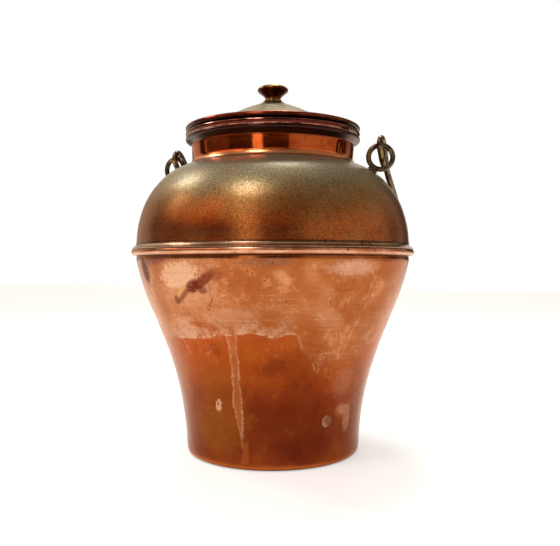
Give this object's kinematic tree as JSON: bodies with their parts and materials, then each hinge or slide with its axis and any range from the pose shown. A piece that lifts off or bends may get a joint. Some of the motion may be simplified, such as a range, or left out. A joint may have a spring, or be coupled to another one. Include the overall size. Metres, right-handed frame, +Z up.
{
  "type": "lidded metal pot",
  "caption": "Tall shouldered sheet-metal pot with a belted body, a short neck, a lift-off domed lid with a knob, and a swinging bail on eye bolts.",
  "frame": {"origin": "on the resting plane, at the middle of the base", "axes": "+Z up along the axis of the turned shells; +X through the right eye bolt, along the bail's swing; -Y is the front; the bail rests folded towards +Y"},
  "size_m": [0.266, 0.2753, 0.347],
  "materials": {
    "lower_copper": "lacquered polished copper with pale stains, drips and fine scratches",
    "shoulder_copper": "satin patinated copper, grey-olive above and brown below, finely pitted",
    "neck_copper": "polished copper, darkened under the rim",
    "lid_copper": "satin grey-brown patinated copper with a brighter rolled edge",
    "knob_brass": "worn brass, dark below its rim",
    "aged_brass": "aged dark brass with rubbed edges",
    "iron_wire": "dark iron wire inside the rolled edges"
  },
  "bodies": {
    "pot": {"lower_shell": "lower_copper", "base_disc": "lower_copper", "belt_wire": "iron_wire", "shoulder_shell": "shoulder_copper", "neck_collar": "neck_copper", "neck_rim_wire": "iron_wire", "lug_left": "aged_brass", "lug_right": "aged_brass", "lug_washer_left": "aged_brass", "lug_washer_right": "aged_brass"},
    "lid": {"lid_dome": "lid_copper", "lid_edge_wire": "iron_wire", "lid_skirt": "neck_copper", "knob": "knob_brass", "knob_washer": "aged_brass", "knob_screw": "aged_brass"},
    "bail": {"bail": "aged_brass"}
  },
  "joints": [
    {"name": "lid_lift", "type": "slide", "parent": "pot", "child": "lid", "axis": [0, 0, 1], "range_m": [0, 0.06]},
    {"name": "bail_swing", "type": "hinge", "parent": "pot", "child": "bail", "pos_m": [0.0016, 0, 0.28298], "axis": [1, 0, 0.0082], "range_deg": [0, 252]}
  ]
}
